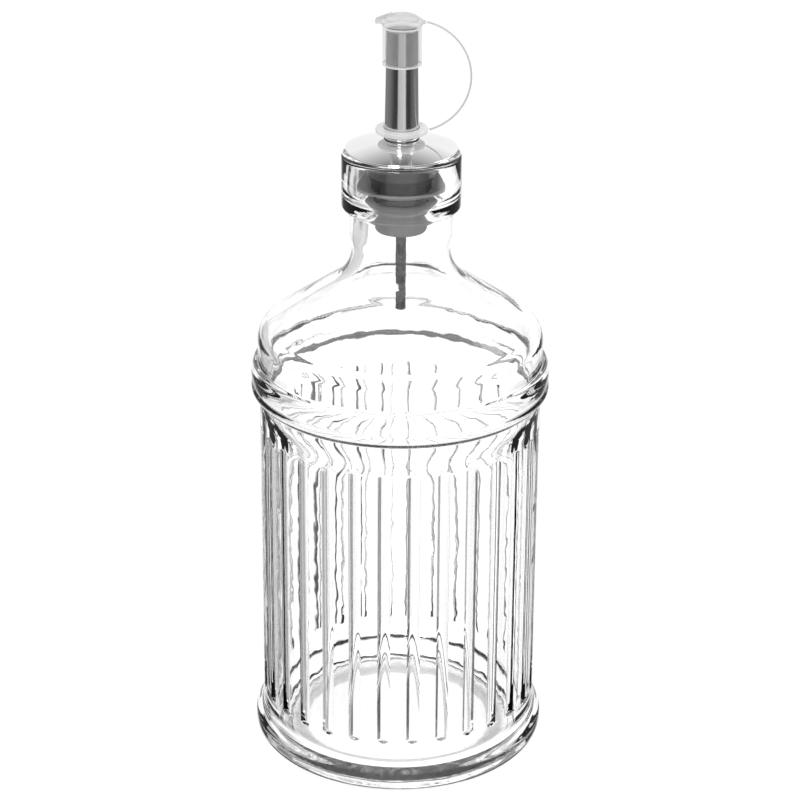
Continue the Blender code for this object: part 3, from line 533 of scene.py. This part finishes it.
outline = [(0.95, 132.79), (1.4, 132.79), (VENT_RADIUS, 132.84)]
outline += [(VENT_RADIUS + VENT_WAVE * math.sin(level * WAVE_TURN), level)
            for level in np.arange(133.6, 160.0, 0.6)]
outline += [(VENT_RADIUS, 160.0), (VENT_RADIUS, 204.95), (1.4, 204.99), (0.95, 204.99)]
vent = turned("vent_pipe", outline, 32)
plastic, spot = new_material("vent_dull_plastic")
# The light specks in the colour are painted glints on the dark plastic. The same noise also gives real
# roughness and bumps.
speck_and_glint = spot.noise(520.0, 4.0)
spot.node("BsdfPrincipled", {
    "Base Color": speck_and_glint.ramp((0.40, 0.02), (0.62, 0.16)),
    "Roughness": speck_and_glint.ramp((0.3, 0.25), (0.7, 0.5)),
    "Normal": speck_and_glint.relief(0.5, 0.0004)}).shown()
dress(vent, plastic, "stopper", "vent_tube")


# Strap ring: the foot of the leash, which is one milky, half see-through silicone moulding with its
# strap and cap. The ring is slipped over the spout and turns on it.
ZONE_FADE = 0.0003


def silicone(name, alpha, grey, thick=()):
    """Milky silicone. Each thick zone is (from height, to height, how much denser, how much paler)."""
    made, spot = new_material(name)
    cloud = spot.noise(260.0, 3.0)
    height = spot.node("SeparateXYZ", {"Vector": spot}, out="Z")
    dense, pale = alpha, (cloud - 0.5) * 0.1 + grey
    for low, high, denser, paler in thick:
        there = height.above(low, ZONE_FADE) * height.below(high, ZONE_FADE)
        dense, pale = there * denser + dense, there * paler + pale
    spot.node("BsdfPrincipled", {
        "Base Color": pale, "Alpha": dense, "IOR": 1.41,
        "Roughness": cloud.ramp((0.3, 0.22), (0.7, 0.36)),
        "Normal": cloud.relief(0.12, 0.0003)}).shown()
    return made


outline = [(5.08, 185.42), (5.13, 185.37)] + arc((6.65, 185.97), (0.6, 0.6), -90, 0, 7)
outline += arc((6.65, 186.27), (0.6, 0.6), 0, 90, 7) + [(5.13, 186.87), (5.08, 186.82)]
ring = turned("ring_silicone", outline, 96)
dress(ring, silicone("ring_silicone", 0.6, 0.82), "leash", "strap_ring")


# Strap: a thin bendy strip of the same silicone, bowed outwards from the ring up to the cap. It
# stretches upright as the cap is pulled.
STRAP_CENTRE = Vector((0.003196, 0, 0.201162))
STRAP_FOOT = Vector((0.00755, 0, 0.186117))
STRAP_HEAD = Vector((0.006774, 0, 0.216417))
STRAP_HALF_THICK, STRAP_HALF_WIDE = 0.00025, 0.0005

to_foot, to_head = STRAP_FOOT - STRAP_CENTRE, STRAP_HEAD - STRAP_CENTRE
bpy.ops.object.select_all(action="DESELECT")
bpy.ops.mesh.primitive_circle_add(vertices=12, radius=1, fill_type="NGON")
strap = bpy.context.object
strap.name = "strap_silicone"
bpy.ops.object.mode_set(mode="EDIT")
bpy.ops.transform.resize(value=(STRAP_HALF_THICK, STRAP_HALF_WIDE, 1))
bpy.ops.transform.rotate(value=-Vector((1, 0, 0)).angle(to_foot), orient_axis="Y",
                         center_override=(0, 0, 0))
bpy.ops.transform.translate(value=STRAP_FOOT)
bpy.ops.mesh.spin(steps=56, angle=to_foot.angle(to_head), center=STRAP_CENTRE, axis=(0, 1, 0))
bpy.ops.mesh.select_all(action="SELECT")
bpy.ops.mesh.normals_make_consistent(inside=False)
bpy.ops.object.mode_set(mode="OBJECT")
bpy.ops.object.shade_smooth_by_angle(angle=math.radians(50))
dress(strap, silicone("strap_silicone", 0.85, 0.62), None, "cap_strap")
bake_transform(strap)


# Cap: the closed end of the leash, a tapered sleeve with a flange and a domed button, pushed over
# the spout's tip. Its ear for the strap and its thumb tab with eight grip ribs are one with it.
TAB_ANGLE = math.radians(143)
RIBS = 8
RIB_PITCH = 0.00085
RIB_RADIUS, RIB_LENGTH = 0.0002, 0.0016
RIB_TALLER = 2.6
RIB_PLACE = (0.00575, 0, 0.21682)
CAP_ALPHA, CAP_GREY = 0.19, 0.50
CAP_HEAD = (0.2156, 0.23, 0.42, 0.17)
CAP_END_WALL = (0.2148, 0.2157, 0.6, 0.4)
CAP_RIM = (0.2040, 0.2051, 0.5, 0.35)

outline = [(0, 214.67), (4.62, 214.67), (4.774, 204.62), (4.83, 204.57), (5.32, 204.57)]
outline += [(5.374, 204.62), (5.374, 215.72)] + arc((5.47, 216.17), (0.3, 0.3), -90, 0, 5)
outline += arc((5.47, 216.67), (0.3, 0.3), 0, 90, 5) + [(4.55, 216.97), (4.42, 217.05), (4.40, 217.40)]
outline += arc((0, 217.57), (4.40, 1.10), 8, 90, 12)[:-1] + [(0, 218.67)]
cap = turned("cap_silicone", outline, 96, closed=False)

lug_outline = [(4.6, -1.1), (6.47, -0.5), (6.47, 0.5), (4.6, 1.1)]
tab_outline = [(4.2, -1.95)] + arc((5.77, -2.9), (1.0, 1.0), -90, 0, 5)
tab_outline += arc((5.77, 2.9), (1.0, 1.0), 0, 90, 5) + [(4.2, 1.95)]
ears = []
for name, outline, low, thickness, angle in (("lug", lug_outline, 216.02, 0.8, 0.0),
                                             ("tab", tab_outline, 215.72, 1.1, TAB_ANGLE)):
    ear = traced(name, [Vector((x / 1000, y / 1000, low / 1000)) for x, y in outline + outline[:1]])
    bpy.ops.mesh.remove_doubles(threshold=WELD)
    bpy.ops.mesh.edge_face_add()
    bpy.ops.mesh.extrude_region_move(TRANSFORM_OT_translate={"value": (0, 0, thickness / 1000)})
    bpy.ops.mesh.select_all(action="SELECT")
    bpy.ops.transform.rotate(value=-angle, orient_axis="Z", center_override=(0, 0, 0))
    ears.append(closed_up(ear))

bpy.ops.object.select_all(action="DESELECT")
bpy.ops.mesh.primitive_cylinder_add(vertices=12, radius=RIB_RADIUS, depth=RIB_LENGTH)
ribs = bpy.context.object
rows = ribs.modifiers.new("rows", "ARRAY")
rows.count = RIBS
rows.use_relative_offset = False
rows.use_constant_offset = True
rows.constant_offset_displace = (0, RIB_PITCH, 0)
applied(ribs, rows)
bpy.ops.object.mode_set(mode="EDIT")
bpy.ops.mesh.select_all(action="SELECT")
bpy.ops.transform.translate(value=(0, -RIB_PITCH * (RIBS - 1) / 2, 0))
bpy.ops.transform.resize(value=(RIB_TALLER, 1.0, 1.0), center_override=(0, 0, 0))
bpy.ops.transform.rotate(value=math.pi / 2, orient_axis="Y", center_override=(0, 0, 0))
bpy.ops.transform.translate(value=RIB_PLACE)
bpy.ops.transform.rotate(value=-TAB_ANGLE, orient_axis="Z", center_override=(0, 0, 0))
bpy.ops.object.mode_set(mode="OBJECT")

for ear in ears + [ribs]:
    union = cap.modifiers.new("union", "BOOLEAN")
    union.operation = "UNION"
    union.object = ear
    applied(cap, union)
    bpy.data.objects.remove(ear)
bpy.ops.object.select_all(action="DESELECT")
cap.select_set(True)
closed_up(cap)
milky = silicone("cap_silicone", CAP_ALPHA, CAP_GREY, (CAP_HEAD, CAP_END_WALL, CAP_RIM))
dress(cap, milky, "cap", "spout_cap")
